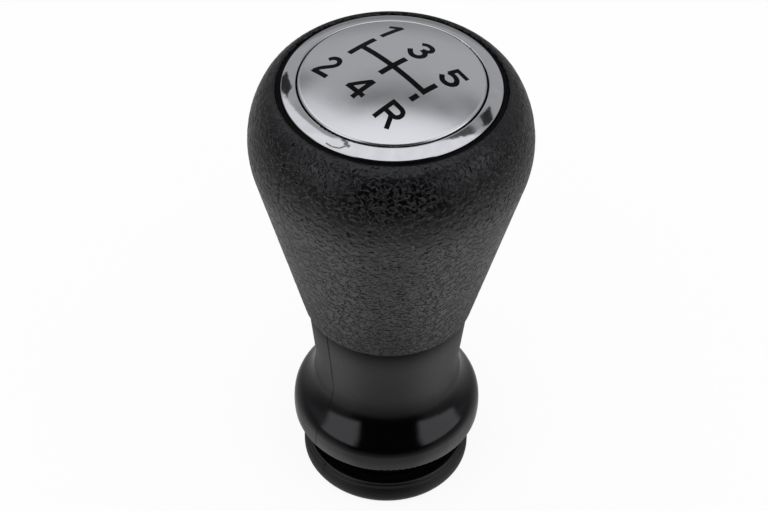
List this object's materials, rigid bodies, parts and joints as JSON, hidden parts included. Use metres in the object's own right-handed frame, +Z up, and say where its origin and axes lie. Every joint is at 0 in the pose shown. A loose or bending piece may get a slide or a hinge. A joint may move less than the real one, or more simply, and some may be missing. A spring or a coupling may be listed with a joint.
{
  "type": "gear shift knob",
  "caption": "Tapered round shift knob with a grained soft grip, bright cap ring and domed gate disc, smooth neck and bulge, and a grooved foot for the gaiter.",
  "frame": {"origin": "centre of the foot's underside, on the lever's axis", "axes": "+Z up along the lever towards the face disc, +Y forward (the 1-3-5 side of the gate pattern), +X towards the 5-R side"},
  "size_m": [0.05, 0.05, 0.0963],
  "materials": {
    "core": "smooth satin to gloss black moulding",
    "grip": "black, moulded leather grain",
    "sleeve": "natural nylon",
    "spring": "drawn spring wire",
    "cap_base": "gloss black",
    "chrome": "polished plating on plastic",
    "pad": "closed foam tape",
    "disc": "satin silver with a black printed gate pattern"
  },
  "bodies": {
    "root": {"foot": "core", "groove_wall": "core", "knob_core": "core", "grip": "grip", "lever_sleeve": "sleeve", "spring_ring": "spring", "cap_base": "cap_base", "chrome_ring": "chrome", "adhesive_pad": "pad", "face_disc": "disc"}
  },
  "joints": []
}
